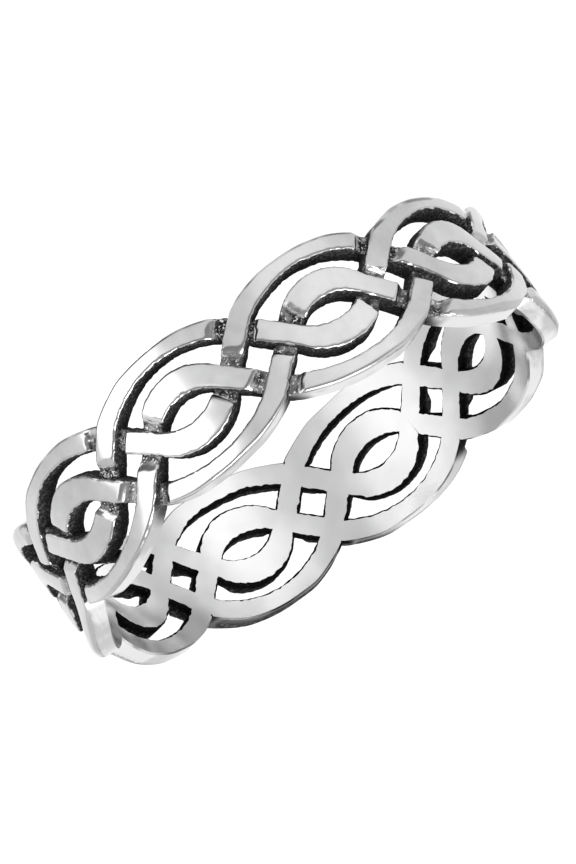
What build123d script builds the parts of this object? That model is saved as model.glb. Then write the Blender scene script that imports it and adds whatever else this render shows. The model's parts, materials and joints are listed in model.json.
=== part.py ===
from build123d import *
import os
from math import cos, pi, sqrt, tan

# Celtic knot ring: one cast silver band in which four strands cross over and under each other.
# Units are millimetres. The ring lies on its side: +Z is the ring's axis, and z = 0 is the surface
# that the tips of its lower rim rest on.
# The pattern is drawn flat: s runs round the bore wall, anticlockwise seen from above, and h is the
# height above the middle of the band. One repeat has a square hole with four crossings round it,
# then an eye-shaped hole with a crescent-shaped hole above and below it.

# Driving sizes of the band
bore_diameter = 18.1
wall_thickness = 0.85
repeats = 10

# Driving sizes of the pattern, as they are on the bore wall
crossing_reach = 1.2       # from the middle of a square hole to the middle of each crossing round it
strand_width = 0.8         # where strands cross
eye_half_height = 0.44
eye_strand_width = 1.03    # beside the middle of an eye
crescent_height = 0.475    # the gap between the strand round an eye and the strand along the rim
rim_strand_width = 0.655   # at the top of a lobe

# Driving sizes of the relief, where a strand dips on its way under another
dip_depth = 0.32
dip_floor_length = 0.25
dip_top_length = 0.45
dip_flare = 0.6            # how far a dip widens past the strand's edges, for each mm along the strand

# How far a cutting tool runs past what it cuts
overrun = 0.2

# Worked out from the sizes above
bore_radius = bore_diameter / 2
outer_radius = bore_radius + wall_thickness
pitch = 2 * pi * bore_radius / repeats
half_pitch = pitch / 2
crossing_half = strand_width / sqrt(2)            # from a crossing's middle to its corners
square_half = crossing_reach - crossing_half
eye_half_length = half_pitch - crossing_reach - crossing_half
crescent_bottom = eye_half_height + eye_strand_width
crescent_top = crescent_bottom + crescent_height
half_width = crescent_top + rim_strand_width
notch_height = crossing_reach + crossing_half
repeat_angle = 360 / repeats
degrees_per_mm = repeat_angle / pitch             # of the angle round the axis, for each mm of s
# a flat section this far out lies inside the bore wall all along the widest cutting tool
tool_start = bore_radius * cos((half_pitch + crossing_half) / bore_radius) - overrun
tool_end = outer_radius + overrun


def section(path, distance, centre):
    """A closed wire across the wall at a distance from the axis, drawn square to the radius at s = centre.

    Each stretch of the path is two points, a line, or three points, an arc through the middle one.
    """

    def place(point):
        s, h = point
        return (distance, distance * tan((s - centre) / bore_radius), h)

    edges = []
    for stretch in path:
        points = [place(point) for point in stretch]
        make = Edge.make_line if len(points) == 2 else Edge.make_three_point_arc
        edges.append(make(*points))
    return Wire(edges)


def punch(inner_path, outer_path, centre, inner_distance, outer_distance):
    """A cutting tool with walls that run straight out from the axis, between two sections."""
    sections = [
        section(inner_path, inner_distance, centre),
        section(outer_path, outer_distance, centre),
    ]
    return Solid.make_loft(sections, ruled=True).rotate(Axis.Z, centre * degrees_per_mm)


def polygon(points):
    return [(a, b) for a, b in zip(points, points[1:] + points[:1])]


def through_punch(path, centre):
    return punch(path, path, centre, tool_start, tool_end)


def square_hole():
    corners = [(-square_half, 0), (0, -square_half), (square_half, 0), (0, square_half)]
    return through_punch(polygon(corners), 0)


def eye_hole():
    left = (half_pitch - eye_half_length, 0)
    right = (half_pitch + eye_half_length, 0)
    upper = (half_pitch, eye_half_height)
    lower = (half_pitch, -eye_half_height)
    return through_punch([(left, upper, right), (right, lower, left)], half_pitch)


def crescent_hole(side):
    """The hole between an eye's strand and the rim's strand; side is 1 above the eye, -1 below it."""
    outer_left = (crossing_half, side * crossing_reach)
    outer_right = (pitch - crossing_half, side * crossing_reach)
    inner_left = (crossing_reach, side * crossing_half)
    inner_right = (pitch - crossing_reach, side * crossing_half)
    top = (half_pitch, side * crescent_top)
    bottom = (half_pitch, side * crescent_bottom)
    path = [
        (outer_left, top, outer_right),
        (outer_right, inner_right),
        (inner_right, bottom, inner_left),
        (inner_left, outer_left),
    ]
    return through_punch(path, half_pitch)


def rim_scallop(side):
    """What lies beyond one lobe of the rim, from notch to notch."""
    left = (0, side * notch_height)
    right = (pitch, side * notch_height)
    top = (half_pitch, side * half_width)
    beyond = side * (half_width + overrun)
    flare = crossing_half
    path = [
        (left, top, right),
        (right, (pitch + flare, beyond)),
        ((pitch + flare, beyond), (-flare, beyond)),
        ((-flare, beyond), left),
    ]
    return through_punch(path, half_pitch)


def dip(crossing, under, way):
    """The hollow on one side of a crossing, where the lower strand sinks to pass under the upper one.

    crossing is the crossing's middle, under the lower strand's direction, and way 1 or -1 along it.
    """
    along = (way * under[0] / sqrt(2), way * under[1] / sqrt(2))
    across = (-along[1], along[0])
    half = strand_width / 2

    def corner(side, length):
        forward = half + length
        sideways = side * (half + dip_flare * length)
        return (
            crossing[0] + along[0] * forward + across[0] * sideways,
            crossing[1] + along[1] * forward + across[1] * sideways,
        )

    def outline(length):
        return polygon([corner(-1, 0), corner(-1, length), corner(1, length), corner(1, 0)])

    # the shoulder slopes from the floor's length to the top's length over the dip's depth, and on past it
    shoulder = (dip_top_length - dip_floor_length) / dip_depth
    tool_length = dip_top_length + shoulder * overrun
    centre = crossing[0] + along[0] * (half + dip_floor_length / 2)
    return punch(
        outline(dip_floor_length),
        outline(tool_length),
        centre,
        outer_radius - dip_depth,
        tool_end,
    )


# Each crossing round a square hole, and the direction of the strand that passes under there
RISING, FALLING = (1, 1), (1, -1)
crossings = [
    ((0, crossing_reach), FALLING),
    ((crossing_reach, 0), RISING),
    ((0, -crossing_reach), FALLING),
    ((-crossing_reach, 0), RISING),
]


def turned(shape, turns):
    return shape.rotate(Axis.Z, turns * repeat_angle)


# One repeat of the band is a wedge with a square hole in its middle and half an eye at each end
whole_height = 2 * half_width
base = Plane((0, 0, -half_width))
wedge = Solid.make_cylinder(outer_radius, whole_height, base, repeat_angle)
wedge = wedge.cut(Solid.make_cylinder(bore_radius, whole_height, base)).solid()
wedge = turned(wedge, -1 / 2)

eye_and_rims = [eye_hole()] + [make(side) for make in (crescent_hole, rim_scallop) for side in (1, -1)]
pierced = wedge.cut(square_hole(), *[turned(tool, turn) for turn in (-1, 0) for tool in eye_and_rims])

dips = [dip(middle, under, way) for middle, under in crossings for way in (1, -1)]
one_repeat = pierced.solid().cut(*[turned(tool, turn) for turn in (-1, 0, 1) for tool in dips]).solid()

first, *others = [turned(one_repeat, turn) for turn in range(repeats)]
knot_band = first.fuse(*others).solid()

os.makedirs("parts", exist_ok=True)
export_step(Pos(0, 0, half_width) * knot_band, "parts/knot_band.step")

print("outer diameter", round(2 * outer_radius, 2), "band width", round(whole_height, 2))
print("repeat along the bore", round(pitch, 3), "volume", round(knot_band.volume, 2), "mm3")
print("faces", len(knot_band.faces()), "valid", knot_band.is_valid)
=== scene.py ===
import json
from math import asin, cos, pi, radians, sin, sqrt
from types import SimpleNamespace

import bpy
import numpy as np
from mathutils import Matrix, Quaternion, Vector, noise


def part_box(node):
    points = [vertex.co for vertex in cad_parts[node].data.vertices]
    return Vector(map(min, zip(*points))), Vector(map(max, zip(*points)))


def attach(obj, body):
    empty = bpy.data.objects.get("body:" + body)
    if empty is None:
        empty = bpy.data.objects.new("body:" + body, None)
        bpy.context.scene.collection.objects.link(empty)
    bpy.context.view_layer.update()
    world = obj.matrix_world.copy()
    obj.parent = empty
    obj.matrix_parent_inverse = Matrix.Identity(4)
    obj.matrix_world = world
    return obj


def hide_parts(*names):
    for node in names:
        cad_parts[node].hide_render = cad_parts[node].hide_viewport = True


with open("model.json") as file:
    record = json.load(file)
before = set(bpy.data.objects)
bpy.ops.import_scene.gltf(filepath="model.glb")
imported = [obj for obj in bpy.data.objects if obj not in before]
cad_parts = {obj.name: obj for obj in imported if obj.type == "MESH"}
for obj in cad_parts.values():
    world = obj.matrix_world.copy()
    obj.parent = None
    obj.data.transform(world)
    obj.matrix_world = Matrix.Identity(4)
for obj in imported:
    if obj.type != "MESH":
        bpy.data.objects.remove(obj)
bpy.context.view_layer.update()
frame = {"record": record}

# Celtic knot ring: the cast band's four strands with rounded, polished tops, rough dark walls and
# dips, on a pale floor. Lengths are metres. The pattern is drawn flat on the bore wall, as in the
# solid model: s runs round the bore and h is the height above the middle of the band.
MM = 0.001

# Sizes of the band, from the frame
lowest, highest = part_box("knot_band")
outer_radius = highest.x
half_width = (highest.z - lowest.z) / 2
bore_radius = frame["record"]["mounts"][0]["dims"]["r_mm"] * MM

# Sizes of the pattern, as in the solid model
repeats = 10
crossing_reach = 1.2 * MM
strand_width = 0.8 * MM
eye_half_height = 0.44 * MM
eye_strand_width = 1.03 * MM
crescent_height = 0.475 * MM

pitch = 2 * pi * bore_radius / repeats
crossing_half = strand_width / sqrt(2)
crescent_bottom = eye_half_height + eye_strand_width
crescent_top = crescent_bottom + crescent_height
notch_height = crossing_reach + crossing_half

# Sizes of a strand's section
bore_chamfer = 0.072 * MM
chamfer_drop = 0.15 * MM         # how deep and wide the chamfer is, with what the bore cuts off
chamfer_raggedness = 0.6         # how much that width varies, off the rim
chamfer_raggedness_size = 0.2 * MM
chamfer_width_range = (0.4, 1.3)
rim_chamfer_share = 0.6          # of that width, along the polished rim
foot = 0.05 * MM                 # how far a strand spreads at the bore, past its edge in the solid
foot_fade = 4 * foot             # how near a lobe's tip that spread starts to fade, along the rim
wall_draft = 0.045 * MM          # how much narrower it is at each side of its top
shoulder = 0.1 * MM              # how far in the rounding of its top edges reaches
end_rounding = 1.5               # how much further that reaches on the rim's two most worn sides
crown = 0.012 * MM
skin = 0.022 * MM                # from the solid's outer radius to a strand's mean top
notch_share = 0.12               # of a lobe's length, at each end, over which the rim grows smooth

# How far the band stays inside the solid's box
height_margin = 0.002 * MM
radius_margin = 0.001 * MM

# Sizes of the dips, where a strand sinks to pass under another
dip_depth = 0.26 * MM
dip_floor_range = (0.06 * MM, 0.26 * MM)
dip_slope_range = (0.2 * MM, 0.55 * MM)
dip_skew = 0.25
dip_raggedness, dip_raggedness_size = 0.05 * MM, 0.25 * MM

# Unevenness of the casting: how far, and how far apart its bumps are
edge_wander, edge_wander_size = 0.03 * MM, 1.1 * MM
edge_wander_mean = 0.35          # of that wander, inwards
edge_ripple, edge_ripple_size = 0.02 * MM, 0.22 * MM
wall_roughness, wall_roughness_size = 0.04 * MM, 0.16 * MM
rim_smoothness = 0.85            # how much smoother the polished rim walls are
top_wander, top_wander_size = 0.018 * MM, 1.3 * MM
dip_roughness, dip_roughness_size = 0.035 * MM, 0.2 * MM

# Seeds of that unevenness
dip_raggedness_seed, top_seed, dip_seed, chamfer_seed = 11, 12, 13, 14
strand_seed_step = 30
wall_seed_step = 20
dip_random_seed = 7
seed_shift = (7.3, 3.1, 5.7)

# Mesh steps along each stretch of a strand, round the bore's cutter and across a half section
straight_steps = 36
rim_steps = 76
eye_steps = 44
bore_steps = 720
thirds = (1 / 3, 2 / 3)
rounding_angles = (0, 30, 60, 90)
smooth_rows = 3                  # from the rounding's end on, which are as smooth as the top
easing_rounds = 6                # how often the slight corners between stretches are eased
bore_cutter_overrun = 1 * MM
sharp_angle = radians(32)        # edges that turn more than this aren't shaded smooth

# How far in from the rim's edge the polished rim wall reaches, and how much further where it is worn
rim_band = 0.1 * MM
rim_band_widening = 2

# Where the polish of the rim walls starts, in mm from a notch, and how much that place varies
polish_start = (0.0, 0.8)
polish_variation = 2.6

# In each pair below that ends in facing, depths, cosines, heights or levels, a change starts at the first
# value and is whole at the second

# Parts of a strand's section, by the share of the normal that points outwards
bore_facing = (-0.85, -0.96)
bore_edge_facing = (-0.2, -0.35)
wall_facing = (0.42, 0.2)
outside_facing = (0.1, 0.4)
top_edge_facing = (0.8, 0.6)
rim_wall_facing = (0.5, 0.25)
lip_bottom_facing = (0.2, 0.35)
lip_top_facing = (0.8, 0.65)
# surfaces facing down, which are painted in shade
underside_shade_facing = (-0.12, -0.38)  # by the share that points up

# Parts of it by the depth below the solid's outer radius
dip_depths = (0.15 * MM, 0.25 * MM)
lip_depths = (0.3 * MM, 0.2 * MM)
shallow_depths = (0.65 * MM, 0.2 * MM)
# where the rim's painted shade line lies, below its top
rim_shade_depths = (0.25 * MM, 0.12 * MM)
tarnish_depths = (0.85 * MM, 0.3 * MM)

# How much a noise frays those parts
fraying = 0.5
top_edge_fraying = 0.3
depth_fraying = 0.12 * MM

# Places round the ring, as azimuths, and the cosines of the angles from them
ends_at = radians(-8)            # one of the ring's two ends in the picture, with the other opposite
polished_end_cosines = (0.8, 0.95)
# where the bore gets a painted highlight: at both of the ring's ends, more widely at the opposite end, and
# high up there
bright_end_cosines = (0.9, 0.98)
bright_far_end_cosines = (-0.85, -0.92)
bright_high_end_cosines = (-0.6, -0.78)
bright_high_end_heights = (3.4 * MM, 4.3 * MM)
tarnished_at = radians(56)
tarnished_cosines = (0.85, 0.94)
front_at = radians(-83)
front_cosines = (0.95, 0.985)
near_side_cosines = (0.2, -0.4)  # of the angle from +Y

# The silver's paleness: paler stretches at even angles, a painted sheen standing in for reflections, mixed
# with patches that differ at random
painted_sheen_at = radians(53)
painted_sheen_stretches = 8
painted_sheen_wander = 0.35               # in radians
patches_on_top, patches_on_bore, patches_on_rim = 0.25, 0.1, 0.6
top_haze_and_sheen_at_ends = 0.35
mottling = 0.5
brush_shrink = 0.07              # of lengths round the ring, which makes the brush marks long

# Noises of the silver: how far apart their bumps are, and their detail and roughness
coarse_noise = (0.35 * MM, 4.0, 0.55)
medium_noise = (0.14 * MM, 4.0, 0.6)
fine_noise = (0.07 * MM, 3.0, 0.65)
broad_noise = (2.2 * MM, 2.0, 0.55)
stretch_noise = (1.6 * MM, 2.0, 0.55)
patch_noise = (2.0 * MM, 2.0, 0.55)
mottle_noise = (0.6 * MM, 3.0, 0.55)
brush_noise = (0.16 * MM, 1.0, 0.55)
dip_kind_noise = (1.9 * MM, 0.0, 0.55)
wave_noise = (1.5 * MM, 1.0, 0.55)

# Levels of those noises between which one tone or part gives way to another
stretch_levels = (0.42, 0.58)
patch_levels = (0.32, 0.66)
pale_dip_levels = (0.44, 0.56)
brush_levels = (0.25, 0.7)
wall_speck_levels = (0.5, 0.72)
dark_dip_speck_levels = (0.4, 0.72)
pale_dip_speck_levels = (0.3, 0.65)
# the dips' bright specks, which are painted highlights
painted_glint_levels = (0.84, 0.9)
lip_levels = (0.49, 0.58)
near_top_levels = (0.5, 0.62)
speck_clumping = 0.8             # how much the coarse noise gathers the specks of a dark dip
painted_glint_fineness = 0.5             # how much the fine noise counts in the sparks

# Tones of the silver: the darker grey, the paler one, and how much more blue the darker one has
bore_tones = (0.46, 0.88, 0.005)
top_tones = (0.435, 0.73, 0.005)
rim_tones = (0.6, 0.86, 0.005)
tarnished_rim_tones = (0.02, 0.13, 0.0)
# the painted shade on surfaces that face down
underside_shade_tones = (0.14, 0.5, 0.0)
dark_dip_tones = (0.02, 0.34, 0.0002)
pale_dip_tones = (0.045, 0.33, 0.001)
deep_wall_tones = (0.004, 0.02, 0.0)
shallow_wall_tones = (0.024, 0.12, 0.0002)
# paler walls on the near side, painted light
painted_light_wall_tones = (0.034, 0.14, 0.0)

# Tones of small marks: the grey, and how much more blue it has
wall_top_tone = (0.13, 0.0)
# a painted shade line along the rim's shoulder, in place of the contact shadow it would reflect
rim_shade_tone = (0.03, 0.0)
# a dark line along the strands' top edges: partly patina, mostly painted shade for the dark reflection there
edge_patina_and_shade_tone = (0.06, 0.001)
# a darker painted shadow on those surfaces in front
front_shade_tone = (0.02, 0.0)
# bare silver flecks along the gaps' edges, partly wear and partly painted highlight
lip_wear_and_highlight_tone = (0.7, 0.0)
# the tone of the painted highlights in the dips
painted_glint_tone = (0.8, 0.0)

# How strongly marks show. A pair is for places outside the noise's stretches, then in them
bore_edge_on_rim = (0.4, 0.8)
bore_edge_on_tarnished_rim = 0.15
# how strongly the rim's painted shade line shows
rim_shade_strengths = (0.7, 0.3)
# how strongly that painted shadow in front shows
front_shade_strength = 0.9
# how strongly the near side's painted light shows
painted_light_strength = 0.7

# Finish of the polish, the dark dips, the pale dips and the walls of the gaps. Dullness is the shader's
# roughness, and a bump or wave is a height
dip_metallic, wall_metallic = 0.7, 0.03
polish_dullness, dark_dip_dullness, pale_dip_dullness, wall_dullness = 0.18, 0.38, 0.28, 0.6
polish_bump, dark_dip_bump, pale_dip_bump, wall_bump = 0.0002 * MM, 0.05 * MM, 0.02 * MM, 0.05 * MM
outer_wave, bore_wave = 0.03 * MM, 0.006 * MM

# The floor glows, so that it shows white, and more so in one streak that the ring's outside reflects
floor_reach = 2.0
floor_white = 0.1
floor_dullness = 0.9
floor_light = 0.96
streak_light = 1.9
streak_start = (-0.95 * MM, -6.2 * MM)
streak_direction = radians(-56.6)
streak_half_angle = radians(24)
streak_sharp_blur = 0.02
streak_soft_blur = (0.1, 0.06)
streak_beginning = (0.0, 0.2)

# The dome's light, which is less low down in front of the ring, and a softbox above
dome_light, front_light = 0.95, 0.4
dome_behind = (0.23, 0.97, 0.0)
dome_front_cosines = (-0.1, -0.7)
dome_front_heights = (0.8, 0.5)
softbox_size, softbox_energy = 0.42, 1.6
softbox_place = (-0.03, -0.12, 0.38)

# The camera, as fitted to the photo
view_azimuth = radians(-13.4)
view_elevation = radians(16.1)
view_roll = radians(143.3)
view_distance = 0.604
aim_right = 0.053 * MM
aim_up = 0.0185 * MM
picture_height = 864
focal_pixels = 17486
sensor_width = 36
nearest, farthest = 0.01, 10


def line(start, end, count):
    """count points from start towards end, without end."""
    share = np.arange(count)[:, None] / count
    return np.array(start) * (1 - share) + np.array(end) * share


def arc(start, middle, end, count):
    """count points on the arc through three points, without the last, where middle is half way."""
    start, middle, end = np.array(start), np.array(middle), np.array(end)
    chord_middle = (start + end) / 2
    rise = middle - chord_middle
    sagitta = np.linalg.norm(rise)
    half_chord = np.linalg.norm(end - start) / 2
    radius = (half_chord**2 + sagitta**2) / (2 * sagitta)
    centre = middle - rise / sagitta * radius
    half_angle = asin(half_chord / radius)
    along = (end - start) / (2 * half_chord)
    angles = half_angle * (2 * np.arange(count)[:, None] / count - 1)
    return centre + radius * (np.sin(angles) * along + np.cos(angles) * rise / sagitta)


def strand_edges():
    """Both edges of a strand over two repeats, and the steps at which it starts to pass under another."""
    g, c = crossing_reach, crossing_half
    upper = [
        line((-g - c, 0), (0, g + c), straight_steps),
        arc((0, g + c), (pitch / 2, half_width), (pitch, g + c), rim_steps),
        line((pitch, g + c), (pitch + g + c, 0), straight_steps),
        arc((pitch + g + c, 0), (1.5 * pitch, -eye_half_height), (2 * pitch - g - c, 0), eye_steps),
    ]
    lower = [
        line((-g, -c), (c, g), straight_steps),
        arc((c, g), (pitch / 2, crescent_top), (pitch - c, g), rim_steps),
        line((pitch - c, g), (pitch + g, -c), straight_steps),
        arc((pitch + g, -c), (1.5 * pitch, -crescent_bottom), (2 * pitch - g, -c), eye_steps),
    ]
    return np.concatenate(upper), np.concatenate(lower), [0, straight_steps + rim_steps]


def round_the_ring(points):
    """Repeats two repeats' worth of points all the way round."""
    turns = [points + (2 * pitch * turn, 0) for turn in range(repeats // 2)]
    return np.concatenate(turns)


def eased(points):
    """Eases the slight corners where straight stretches meet arcs."""
    circumference = np.array([2 * pi * bore_radius, 0])
    for _ in range(easing_rounds):
        before = np.vstack([points[-1:] - circumference, points[:-1]])
        after = np.vstack([points[1:], points[:1] + circumference])
        points = (before + 2 * points + after) / 4
    return points


def smoothstep(x):
    x = np.clip(x, 0, 1)
    return x * x * (3 - 2 * x)


def section():
    """A half section from its bottom to the middle of the top.

    Each row is the inset from the strand's edge, as a length, in shoulders and as a share of what is left
    to the middle, then the share of the wall's height that lies below, and the height above that, in
    shoulders and as a length.
    """
    rows = [(chamfer_drop, 0, 0, 0, 0, -chamfer_drop), (0, 0, 0, 0, 0, 0)]
    rows += [(wall_draft * share, 0, 0, share, 0, 0) for share in thirds]
    for angle in rounding_angles:
        a = radians(angle)
        rows.append((wall_draft, 1 - cos(a), 0, 1, sin(a), -crown * sin(a)))
    for share in thirds:
        rows.append((wall_draft, 1, share, 1, 1, -crown * (1 - share) ** 2))
    return np.array(rows).T


def worn_share(s):
    """1 on the ring's two most worn sides and 0 half way between them."""
    return (0.5 + 0.5 * np.cos(2 * s / bore_radius)) ** 2


def noise_at(points, size, seed):
    """Smooth noise from -1 to 1 at each point, the same on every run."""
    shift = Vector([seed * step for step in seed_shift])
    flat = points.reshape(-1, 3) / size
    values = [noise.noise(Vector(point) + shift) for point in flat]
    return np.array(values).reshape(points.shape[:-1])


def wrapped(s, h, radius):
    """Points of the flat pattern laid round the ring."""
    angle = s / bore_radius
    return np.stack([radius * np.cos(angle), radius * np.sin(angle), h + half_width], axis=-1)


def kept_inside(h):
    limit = half_width - height_margin
    return np.clip(h, -limit, limit)


def uneven(edge, inward, seed, smooth):
    """An edge with its foot, wander and ripple, where smooth is 1 as on a rim and 0 as in a gap."""
    here = wrapped(*edge.T, bore_radius)
    wander = edge_wander * (noise_at(here, edge_wander_size, seed) + edge_wander_mean)
    ripple = edge_ripple * noise_at(here, edge_ripple_size, seed)
    to_tip = smoothstep((half_width - np.abs(edge[:, 1])) / foot_fade)
    spread = foot * (1 - smooth * (1 - to_tip))
    edge = edge + inward * (wander + ripple * (1 - smooth) - spread)[:, None]
    edge[:, 1] = kept_inside(edge[:, 1])
    return edge


def strand_course(shift, flip, seed):
    """A strand's uneven edges all the way round, and what is known of each step along it."""
    upper, lower, starts = strand_edges()
    steps = len(upper)
    upper = eased(round_the_ring(upper)) + (shift, 0)
    lower = eased(round_the_ring(lower)) + (shift, 0)
    if flip:
        upper, lower = -upper, -lower

    step_in_pattern = np.arange(len(upper)) % steps
    on_rim = (step_in_pattern >= straight_steps) & (step_in_pattern < straight_steps + rim_steps)
    along_rim = np.where(on_rim, (step_in_pattern - straight_steps) / rim_steps, 0)
    off_notch = smoothstep(np.minimum(along_rim, 1 - along_rim) / notch_share)

    across = (lower - upper) / np.linalg.norm(lower - upper, axis=1)[:, None]
    upper = uneven(upper, across, seed, off_notch)
    lower = uneven(lower, -across, seed + 1, 0)
    way = (upper + lower) / 2
    along = np.concatenate([[0], np.cumsum(np.linalg.norm(np.diff(way, axis=0), axis=1))])
    return SimpleNamespace(
        upper=upper,
        lower=lower,
        across=across[:, None, :],
        width=np.linalg.norm(lower - upper, axis=1)[:, None],
        along=along[:, None],
        on_rim=on_rim,
        rim_shoulder=shoulder * (1 + end_rounding * worn_share(upper[:, 0]) * off_notch)[:, None],
        dips_at=[start + steps * turn for turn in range(repeats // 2) for start in starts],
    )


def section_insets(course, inset, rounding, share):
    """How far each point of the whole section lies from the strand's upper edge, at each step."""
    half_strand = course.width / 2
    halves = []
    for edge, own_shoulder in ((course.upper, course.rim_shoulder), (course.lower, shoulder)):
        half = inset + rounding * own_shoulder
        half = half + share * (half_strand - half)
        ragged = noise_at(wrapped(*edge.T, bore_radius), chamfer_raggedness_size, chamfer_seed)
        half[:, 0] *= np.clip(1 + chamfer_raggedness * ragged, *chamfer_width_range)
        halves.append(half)
    insets = np.hstack([halves[0], half_strand, (course.width - halves[1])[:, ::-1]])
    insets[course.on_rim, 0] = chamfer_drop * rim_chamfer_share
    return insets


def dip_shares(course, lateral, raggedness, random):
    """How far each point has sunk, from 0 to 1, by its place along the strand and across it."""
    along = course.along
    total = along[-1, 0] * len(along) / (len(along) - 1)
    sunk = np.zeros(lateral.shape)
    for start in course.dips_at:
        middle = along[start] + strand_width / 2
        away = (along - middle + total / 2) % total - total / 2
        for side in (-1, 1):
            floor = random.uniform(*dip_floor_range)
            slope = random.uniform(*dip_slope_range)
            skew = random.uniform(-dip_skew, dip_skew)
            past = side * away + skew * lateral + raggedness - strand_width / 2 - floor
            here = np.where(side * away >= 0, 1 - smoothstep(past / slope), 0)
            sunk = np.maximum(sunk, here)
    return sunk


def top_radii(course, on_bore, insets, random):
    """The radius that the strand's top has over each point of the bore."""
    raggedness = dip_raggedness * noise_at(on_bore, dip_raggedness_size, dip_raggedness_seed)
    sunk = dip_shares(course, insets - course.width / 2, raggedness, random)
    top = outer_radius - skin - dip_depth * sunk
    top += top_wander * noise_at(on_bore, top_wander_size, top_seed)
    top += dip_roughness * sunk * noise_at(on_bore, dip_roughness_size, dip_seed)
    return top


def wall_relief(course, here, middle, seed):
    """How far each point moves across the strand, towards its middle, which roughens its walls."""
    column = np.arange(here.shape[1])
    rough = wall_roughness * noise_at(here, wall_roughness_size, seed + wall_seed_step)
    is_wall = np.abs(column - middle) > smooth_rows
    rim_side = column < middle
    rough = rough * is_wall * (1 - rim_smoothness * course.on_rim[:, None] * rim_side)
    return np.abs(rough) * np.sign(middle - column)


def mirrored(half, middle):
    """A half section's values, the middle's, and the half's again in reverse."""
    return np.concatenate([half, [middle], half[::-1]])


def strand_points(shift, flip, seed, random):
    """A strand's points, one row of them for the section at each step along it."""
    course = strand_course(shift, flip, seed)
    inset, rounding, share, wall_share, rise, lift = section()
    insets = section_insets(course, inset, rounding, share)
    wall_shares, rises, lifts = mirrored(wall_share, 1), mirrored(rise, 1), mirrored(lift, 0)
    middle = len(inset)
    shoulders = np.where(np.arange(len(rises)) < middle, course.rim_shoulder, shoulder)

    place = course.upper[:, None, :] + course.across * insets[..., None]
    on_bore = wrapped(place[..., 0], place[..., 1], bore_radius)
    top = top_radii(course, on_bore, insets, random)
    wall_bottom = bore_radius + bore_chamfer
    radius = wall_bottom + wall_shares * (top - shoulders - wall_bottom) + rises * shoulders + lifts
    radius = np.minimum(radius, outer_radius - radius_margin)
    here = wrapped(place[..., 0], place[..., 1], radius)
    place += course.across * wall_relief(course, here, middle, seed)[..., None]
    return wrapped(place[..., 0], kept_inside(place[..., 1]), radius)


def strand_mesh(name, points):
    """A closed tube through rows of points, with its last row joined to its first."""
    count, size, _ = points.shape
    i, j = np.meshgrid(np.arange(count), np.arange(size), indexing="ij")
    i2, j2 = (i + 1) % count, (j + 1) % size
    faces = np.stack([i * size + j, i * size + j2, i2 * size + j2, i2 * size + j], axis=-1)
    mesh = bpy.data.meshes.new(name)
    mesh.from_pydata(points.reshape(-1, 3).tolist(), [], faces.reshape(-1, 4).tolist())
    return mesh


def add(data, name):
    thing = bpy.data.objects.new(name, data)
    bpy.context.scene.collection.objects.link(thing)
    return thing


def bore_cutter():
    angles = 2 * pi * np.arange(bore_steps) / bore_steps
    ring = np.stack([bore_radius * np.cos(angles), bore_radius * np.sin(angles)], axis=-1)
    low = [(x, y, -bore_cutter_overrun) for x, y in ring]
    high = [(x, y, 2 * half_width + bore_cutter_overrun) for x, y in ring]
    neighbours = [(k, (k + 1) % bore_steps) for k in range(bore_steps)]
    sides = [(k, after, after + bore_steps, k + bore_steps) for k, after in neighbours]
    caps = [tuple(reversed(range(bore_steps))), tuple(range(bore_steps, 2 * bore_steps))]
    mesh = bpy.data.meshes.new("bore_cutter")
    mesh.from_pydata(low + high, [], sides + caps)
    return mesh


def combine(piece, other, operation):
    """Applies a boolean between two pieces to the first, and deletes the second."""
    modifier = piece.modifiers.new(operation, "BOOLEAN")
    modifier.operation = operation
    modifier.solver = "MANIFOLD"
    modifier.object = other
    graph = bpy.context.evaluated_depsgraph_get()
    mesh = bpy.data.meshes.new_from_object(piece.evaluated_get(graph))
    piece.modifiers.clear()
    piece.data = mesh
    bpy.data.objects.remove(other)


def make_band():
    """Four strands as one body, with a round bore."""
    random = np.random.RandomState(dip_random_seed)
    pieces = []
    for n, (shift, flip) in enumerate([(0, False), (pitch, False), (0, True), (pitch, True)]):
        name = f"strand_{n}"
        pieces.append(add(strand_mesh(name, strand_points(shift, flip, strand_seed_step * n, random)), name))
    band, *others = pieces
    for other in others:
        combine(band, other, "UNION")
    combine(band, add(bore_cutter(), "bore_cutter"), "DIFFERENCE")
    band.name = "silver_band"
    mesh = band.data
    mesh.polygons.foreach_set("use_smooth", np.ones(len(mesh.polygons), bool))
    mesh.set_sharp_from_angle(angle=sharp_angle)
    return band


def mark_rim(mesh):
    """Stores on each vertex whether it lies on a lobe's outer edge, and its distance from a notch."""
    points = np.empty(len(mesh.vertices) * 3, np.float32)
    mesh.vertices.foreach_get("co", points)
    x, y, z = points.reshape(-1, 3).T
    s = np.arctan2(y, x) * bore_radius
    from_tip = s % pitch - pitch / 2
    rise = half_width - notch_height
    radius = ((pitch / 2) ** 2 + rise**2) / (2 * rise)
    edge = half_width - radius + np.sqrt(radius**2 - from_tip**2)
    band = rim_band * (1 + rim_band_widening * worn_share(s))
    rim = smoothstep((np.abs(z - half_width) - edge + band) / (band / 2))
    from_notch = pitch / 2 - np.abs(from_tip)
    for name, values in (("rim", rim), ("from_notch", from_notch / MM)):
        attribute = mesh.attributes.new(name, "FLOAT", "POINT")
        attribute.data.foreach_set("value", values.astype(np.float32))


def grey(value, blue):
    return (value, value, value + blue, 1)


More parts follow.
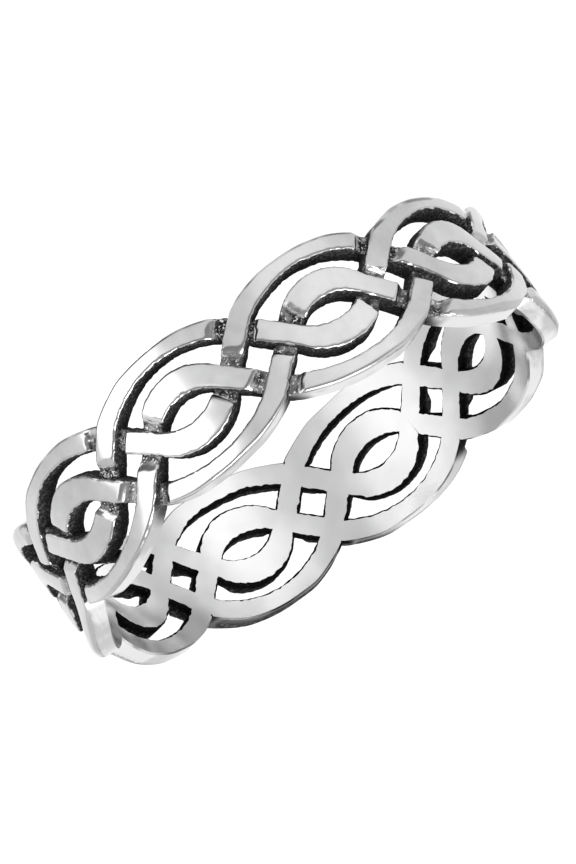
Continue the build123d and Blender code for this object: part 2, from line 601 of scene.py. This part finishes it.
class Nodes:
    """Short calls for building a material's nodes."""

    def __init__(self, owner, shader="Principled BSDF"):
        owner.use_nodes = True
        self.tree = owner.node_tree
        self.shader = self.tree.nodes[shader]

    def new(self, kind, **settings):
        node = self.tree.nodes.new("ShaderNode" + kind)
        for name, value in settings.items():
            setattr(node, name, value)
        return node

    def set(self, socket, value):
        if isinstance(value, bpy.types.NodeSocket):
            self.tree.links.new(value, socket)
        else:
            socket.default_value = value

    def math(self, operation, a, b=0.0):
        node = self.new("Math", operation=operation)
        self.set(node.inputs[0], a)
        self.set(node.inputs[1], b)
        return node.outputs[0]

    def add(self, a, b):
        return self.math("ADD", a, b)

    def subtract(self, a, b):
        return self.math("SUBTRACT", a, b)

    def larger(self, a, b):
        return self.math("MAXIMUM", a, b)

    def times(self, first, *others):
        for other in others:
            first = self.math("MULTIPLY", first, other)
        return first

    def centred(self, value, gain):
        """A noise about 0 instead of 0.5, times gain."""
        return self.times(self.subtract(value, 0.5), gain)

    def cosine_from(self, azimuth, place):
        return self.math("COSINE", self.subtract(azimuth, place))

    def vector(self, operation, a, b=(0.0, 0.0, 0.0), output=0):
        node = self.new("VectorMath", operation=operation)
        self.set(node.inputs[0], a)
        self.set(node.inputs[1], b)
        return node.outputs[output]

    def step(self, value, low, high):
        """0 below low and 1 above high, or the reverse, smooth between."""
        node = self.new("MapRange", interpolation_type="SMOOTHSTEP")
        self.set(node.inputs["Value"], value)
        self.set(node.inputs["From Min"], low)
        self.set(node.inputs["From Max"], high)
        return node.outputs["Result"]

    def part(self, value, index):
        node = self.new("SeparateXYZ")
        self.set(node.inputs[0], value)
        return node.outputs[index]

    def point(self, *parts):
        node = self.new("CombineXYZ")
        for socket, value in zip(node.inputs, parts):
            self.set(socket, value)
        return node.outputs[0]

    def mix(self, share, a, b):
        node = self.new("Mix", data_type="FLOAT")
        self.set(node.inputs["Factor"], share)
        self.set(node.inputs["A"], a)
        self.set(node.inputs["B"], b)
        return node.outputs["Result"]

    def mix_colour(self, share, a, b):
        node = self.new("Mix", data_type="RGBA")
        self.set(node.inputs["Factor"], share)
        self.set(node.inputs[6], a)
        self.set(node.inputs[7], b)
        return node.outputs[2]

    def tones(self, share, dark, pale, blue):
        return self.mix_colour(share, grey(dark, blue), grey(pale, 0.0))

    def noise(self, place, size, detail, roughness):
        """Noise from 0 to 1 whose bumps are about size metres apart."""
        node = self.new("TexNoise")
        self.set(node.inputs["Vector"], place)
        self.set(node.inputs["Scale"], 1 / size)
        self.set(node.inputs["Detail"], detail)
        self.set(node.inputs["Roughness"], roughness)
        return node.outputs["Fac"]


def find_places(n):
    """Where each point lies on the ring, and how its surface faces."""
    place = n.new("TexCoord").outputs["Object"]
    normal = n.new("TexCoord").outputs["Normal"]
    flat = n.vector("MULTIPLY", place, (1.0, 1.0, 0.0))
    outward = n.vector("NORMALIZE", flat)
    azimuth = n.math("ARCTAN2", n.part(place, 1), n.part(place, 0))
    to_ends = n.cosine_from(azimuth, ends_at)
    return SimpleNamespace(
        place=place,
        height=n.part(place, 2),
        radius=n.vector("LENGTH", flat, output=1),
        azimuth=azimuth,
        facing=n.vector("DOT_PRODUCT", normal, outward, output=1),
        upward=n.part(normal, 2),
        near_side=n.step(n.part(outward, 1), *near_side_cosines),
        to_ends=to_ends,
        across_ends=n.math("ABSOLUTE", to_ends),
        tarnished=n.step(n.cosine_from(azimuth, tarnished_at), *tarnished_cosines),
        in_front=n.step(n.cosine_from(azimuth, front_at), *front_cosines),
    )


def find_noises(n, at):
    """Noises at several scales, and the parts of the silver that some of them choose."""
    coarse = n.noise(at.place, *coarse_noise)
    return SimpleNamespace(
        coarse=coarse,
        ragged=n.centred(coarse, fraying),
        medium=n.noise(at.place, *medium_noise),
        fine=n.noise(at.place, *fine_noise),
        broad=n.noise(at.place, *broad_noise),
        stretches=n.step(n.noise(at.place, *stretch_noise), *stretch_levels),
        patches=n.step(n.noise(at.place, *patch_noise), *patch_levels),
        pale_dips=n.step(n.noise(at.place, *dip_kind_noise), *pale_dip_levels),
    )


def polished_rim(n, at, noises):
    """1 on the rim walls that were polished, which the notches are not."""
    rim = n.new("Attribute", attribute_name="rim").outputs["Fac"]
    from_notch = n.new("Attribute", attribute_name="from_notch").outputs["Fac"]
    reach = n.add(from_notch, n.centred(noises.broad, polish_variation))
    reach = n.add(reach, n.step(at.across_ends, *polished_end_cosines))
    return n.times(rim, n.step(reach, *polish_start))


def dark_walls(n, at, noises, rim, off_bore, depth):
    """The walls of the gaps, the dark edges of the bore and the tarnished rim walls."""
    walls = n.step(n.add(at.facing, noises.ragged), *wall_facing)
    walls = n.times(walls, off_bore, n.subtract(1.0, rim))
    bore_edge = n.times(off_bore, n.step(at.facing, *bore_edge_facing))
    on_rim = n.mix(at.tarnished, n.mix(noises.stretches, *bore_edge_on_rim), bore_edge_on_tarnished_rim)
    walls = n.larger(walls, n.times(bore_edge, n.mix(rim, 1.0, on_rim)))
    return n.larger(walls, n.times(rim, at.tarnished, n.step(depth, *tarnish_depths)))


def worn_lip_and_highlight(n, at, noises, off_rim, depth):
    """Flecks of bare silver along the top edges of the gaps, partly wear and partly painted highlights."""
    lip_wear_and_highlight = n.times(n.step(at.facing, *lip_bottom_facing), n.step(at.facing, *lip_top_facing))
    return n.times(lip_wear_and_highlight, off_rim, n.step(noises.coarse, *lip_levels), n.step(depth, *lip_depths))


def find_masks(n, at, noises):
    """Which part of the section each point belongs to, as shares from 0 to 1."""
    rim = polished_rim(n, at, noises)
    off_rim = n.subtract(1.0, rim)
    on_bore = n.step(at.facing, *bore_facing)
    off_bore = n.subtract(1.0, on_bore)
    outside = n.step(at.facing, *outside_facing)
    depth = n.add(n.subtract(outer_radius, at.radius), n.times(noises.ragged, depth_fraying))
    lip_wear_and_highlight = worn_lip_and_highlight(n, at, noises, off_rim, depth)
    walls = dark_walls(n, at, noises, rim, off_bore, depth)
    top_edge = n.step(n.add(at.facing, n.times(noises.ragged, top_edge_fraying)), *top_edge_facing)
    return SimpleNamespace(
        on_bore=on_bore,
        depth=depth,
        lip_wear_and_highlight=lip_wear_and_highlight,
        dip=n.times(n.step(depth, *dip_depths), outside),
        walls=n.times(walls, n.subtract(1.0, lip_wear_and_highlight)),
        # the strands' top edges, which get painted shade with some patina
        edge_patina_and_shade=n.times(top_edge, off_bore, off_rim),
        rim_wall=n.times(rim, n.step(at.facing, *rim_wall_facing)),
        # surfaces that face down, painted in shade
        underside_shade=n.times(n.step(at.upward, *underside_shade_facing), outside),
    )


def haze_and_painted_sheen(n, at, noises, masks):
    """How pale the silver is, by broad stretches round the ring, which are a painted sheen, and by patches.
    """
    angle = n.add(n.subtract(at.azimuth, painted_sheen_at), n.centred(noises.broad, painted_sheen_wander))
    waves = n.math("COSINE", n.times(angle, float(painted_sheen_stretches)))
    waves = n.add(n.times(waves, 0.5), 0.5)
    return n.mix(n.mix(masks.on_bore, patches_on_top, patches_on_bore), waves, noises.patches)


def bore_silver(n, at, haze_and_sheen):
    """Silver with haze and painted sheen, and pale all over at the ring's ends, a painted highlight."""
    # painted highlight: the bore pale at the ring's ends
    far_end = n.step(at.to_ends, *bright_far_end_cosines)
    pale = n.larger(n.step(at.across_ends, *bright_end_cosines), far_end)
    high_end = n.step(at.to_ends, *bright_high_end_cosines)
    pale = n.larger(pale, n.times(n.step(at.height, *bright_high_end_heights), high_end))
    return n.tones(n.mix(pale, haze_and_sheen, 1.0), *bore_tones)


def top_silver(n, at, haze_and_sheen):
    """Silver with haze and painted sheen, finely mottled, and with less of both at the ring's ends, which
    paints the tops there darker.
    """
    left = n.mix(n.math("POWER", at.across_ends, 2.0), 1.0, top_haze_and_sheen_at_ends)
    mottle = n.noise(at.place, *mottle_noise)
    return n.tones(n.add(n.times(haze_and_sheen, left), n.centred(mottle, mottling)), *top_tones)


def rim_silver(n, at, noises):
    """Brushed silver, dull where it is tarnished."""
    along = n.times(at.azimuth, bore_radius * brush_shrink)
    brushed = n.noise(n.point(at.radius, along, at.height), *brush_noise)
    brushed = n.step(n.mix(patches_on_rim, brushed, noises.patches), *brush_levels)
    bright = n.tones(brushed, *rim_tones)
    dull = n.tones(brushed, *tarnished_rim_tones)
    return n.mix_colour(at.tarnished, bright, dull)


def polish_colour(n, at, noises, masks):
    """The silver of the bore, tops and rims, with dark lines along their edges that are painted shade
    (partly patina on the tops' edges), and painted shade where the surface faces down.
    """
    # haze in random patches, with a painted sheen in stretches round the ring
    haze_and_sheen = haze_and_painted_sheen(n, at, noises, masks)
    colour = n.mix_colour(masks.rim_wall, top_silver(n, at, haze_and_sheen), rim_silver(n, at, noises))
    # a painted shade line along the top of the polished rim wall
    rim_shade_line = n.times(masks.rim_wall, n.mix(noises.stretches, *rim_shade_strengths))
    rim_shade_line = n.times(rim_shade_line, n.step(masks.depth, *rim_shade_depths))
    colour = n.mix_colour(rim_shade_line, colour, grey(*rim_shade_tone))
    colour = n.mix_colour(masks.on_bore, colour, bore_silver(n, at, haze_and_sheen))
    # painted shade along the top edges, partly patina
    colour = n.mix_colour(masks.edge_patina_and_shade, colour, grey(*edge_patina_and_shade_tone))
    # painted shade where the surface faces down, darker still in front, in place of the contact shadow
    below = n.tones(noises.stretches, *underside_shade_tones)
    below = n.mix_colour(n.times(at.in_front, front_shade_strength), below, grey(*front_shade_tone))
    return n.mix_colour(masks.underside_shade, colour, below)


def dip_colour(n, noises):
    """Dark speckled metal in some dips and paler metal in others, both with bright specks that are painted
    highlights.
    """
    clumps = n.add(noises.fine, n.centred(noises.coarse, speck_clumping))
    dark = n.tones(n.step(clumps, *dark_dip_speck_levels), *dark_dip_tones)
    pale = n.tones(n.step(noises.coarse, *pale_dip_speck_levels), *pale_dip_tones)
    # painted highlights in the dips
    painted_glints = n.step(n.add(noises.medium, n.times(noises.fine, painted_glint_fineness)), *painted_glint_levels)
    return n.mix_colour(painted_glints, n.mix_colour(noises.pale_dips, dark, pale), grey(*painted_glint_tone))


def wall_colour(n, at, noises, depth):
    """Speckled black patina, which is paler near the tops, and paler on the near side, which is painted
    light.
    """
    specks = n.step(noises.fine, *wall_speck_levels)
    shallow = n.step(depth, *shallow_depths)
    colour = n.mix_colour(shallow, n.tones(specks, *deep_wall_tones), n.tones(specks, *shallow_wall_tones))
    # painted light on the near side's walls
    near_side = n.times(at.near_side, painted_light_strength)
    colour = n.mix_colour(near_side, colour, n.tones(specks, *painted_light_wall_tones))
    near_top = n.times(shallow, n.step(noises.medium, *near_top_levels))
    return n.mix_colour(near_top, colour, grey(*wall_top_tone))


def surface_bump(n, at, noises, masks):
    """Fine grain, strong in the gaps and dips, and slow waves in the polish."""
    relief = n.mix(masks.dip, polish_bump, n.mix(noises.pale_dips, dark_dip_bump, pale_dip_bump))
    relief = n.mix(masks.walls, relief, wall_bump)
    grain = n.times(n.add(noises.coarse, noises.fine), relief)
    wave = n.times(n.noise(at.place, *wave_noise), n.mix(masks.on_bore, outer_wave, bore_wave))
    bump = n.new("Bump")
    n.set(bump.inputs["Height"], n.add(grain, wave))
    n.set(bump.inputs["Strength"], 1.0)
    n.set(bump.inputs["Distance"], 1.0)
    return bump.outputs["Normal"]


def silver():
    """Polished silver, with dark rough metal on the walls of the gaps and in the dips."""
    material = bpy.data.materials.new("silver")
    n = Nodes(material)
    at = find_places(n)
    noises = find_noises(n, at)
    masks = find_masks(n, at, noises)

    colour = polish_colour(n, at, noises, masks)
    colour = n.mix_colour(masks.dip, colour, dip_colour(n, noises))
    # bare silver flecks on the gaps' edges, partly wear and partly painted highlight
    colour = n.mix_colour(masks.lip_wear_and_highlight, colour, grey(*lip_wear_and_highlight_tone))
    colour = n.mix_colour(masks.walls, colour, wall_colour(n, at, noises, masks.depth))
    metallic = n.mix(masks.walls, n.mix(masks.dip, 1.0, dip_metallic), wall_metallic)
    in_dip = n.mix(noises.pale_dips, dark_dip_dullness, pale_dip_dullness)
    dullness = n.mix(masks.walls, n.mix(masks.dip, polish_dullness, in_dip), wall_dullness)

    n.set(n.shader.inputs["Base Color"], colour)
    n.set(n.shader.inputs["Metallic"], metallic)
    n.set(n.shader.inputs["Roughness"], dullness)
    n.set(n.shader.inputs["Specular IOR Level"], 0.0)
    n.set(n.shader.inputs["Normal"], surface_bump(n, at, noises, masks))
    return material


def floor_glow(n):
    """How much light the floor gives at each point."""
    place = n.new("TexCoord").outputs["Object"]
    away = n.vector("NORMALIZE", n.vector("SUBTRACT", place, (*streak_start, 0.0)))
    ahead = (cos(streak_direction), sin(streak_direction), 0.0)
    sideways = (-sin(streak_direction), cos(streak_direction), 0.0)
    side = n.vector("DOT_PRODUCT", away, sideways, output=1)
    forward = n.vector("DOT_PRODUCT", away, ahead, output=1)
    edge = sin(streak_half_angle)
    before, after = streak_soft_blur
    sharp = n.step(side, edge + streak_sharp_blur, edge - streak_sharp_blur)
    soft = n.step(side, -edge - before, -edge + after)
    in_streak = n.times(sharp, soft, n.step(forward, *streak_beginning))
    return n.mix(in_streak, floor_light, streak_light)


def make_floor():
    corners = [(x * floor_reach, y * floor_reach, 0) for x, y in ((-1, -1), (1, -1), (1, 1), (-1, 1))]
    mesh = bpy.data.meshes.new("floor")
    mesh.from_pydata(corners, [], [(0, 1, 2, 3)])
    material = bpy.data.materials.new("floor")
    n = Nodes(material)
    n.set(n.shader.inputs["Base Color"], grey(floor_white, 0.0))
    n.set(n.shader.inputs["Roughness"], floor_dullness)
    n.set(n.shader.inputs["Emission Color"], grey(1.0, 0.0))
    n.set(n.shader.inputs["Emission Strength"], floor_glow(n))
    mesh.materials.append(material)
    return add(mesh, "floor")


def make_dome():
    """White light from all round, with less of it from low down in front of the ring."""
    world = bpy.data.worlds.new("studio")
    bpy.context.scene.world = world
    n = Nodes(world, "Background")
    direction = n.new("TexCoord").outputs["Generated"]
    behind = n.vector("DOT_PRODUCT", direction, dome_behind, output=1)
    height = n.vector("DOT_PRODUCT", direction, (0.0, 0.0, 1.0), output=1)
    low_in_front = n.times(n.step(behind, *dome_front_cosines), n.step(height, *dome_front_heights))
    n.set(n.shader.inputs["Strength"], n.mix(low_in_front, dome_light, front_light))
    n.set(n.shader.inputs["Color"], grey(1.0, 0.0))


def make_softbox():
    """A round lamp above, aimed at the origin."""
    data = bpy.data.lights.new("softbox_above", "AREA")
    data.shape = "DISK"
    data.size = softbox_size
    data.energy = softbox_energy
    light = add(data, "softbox_above")
    light.location = softbox_place
    light.rotation_mode = "QUATERNION"
    light.rotation_quaternion = (-Vector(softbox_place)).to_track_quat("-Z", "Y")


def make_camera():
    """A camera at the photo's angle to the ring, rolled so that the ring stands as in the photo."""
    data = bpy.data.cameras.new("camera")
    data.sensor_width = sensor_width
    data.lens = focal_pixels / picture_height * sensor_width
    data.clip_start = nearest
    data.clip_end = farthest
    camera = add(data, "camera")
    back = Vector((
        sin(view_azimuth) * cos(view_elevation),
        -cos(view_azimuth) * cos(view_elevation),
        sin(view_elevation),
    ))
    level = (-back).to_track_quat("-Z", "Y")
    turned = level @ Quaternion((0, 0, 1), view_roll)
    middle = Vector((0, 0, half_width))
    camera.rotation_mode = "QUATERNION"
    camera.rotation_quaternion = turned
    camera.location = middle + back * view_distance + turned @ Vector((aim_right, aim_up, 0))
    return camera


band = make_band()
mark_rim(band.data)
# the booleans leave an empty material slot, which has to go
band.data.materials.clear()
band.data.materials.append(silver())
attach(band, "root")
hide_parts("knot_band")

make_floor()
make_dome()
make_softbox()
bpy.context.scene.camera = make_camera()
bpy.context.scene.view_settings.view_transform = "Standard"
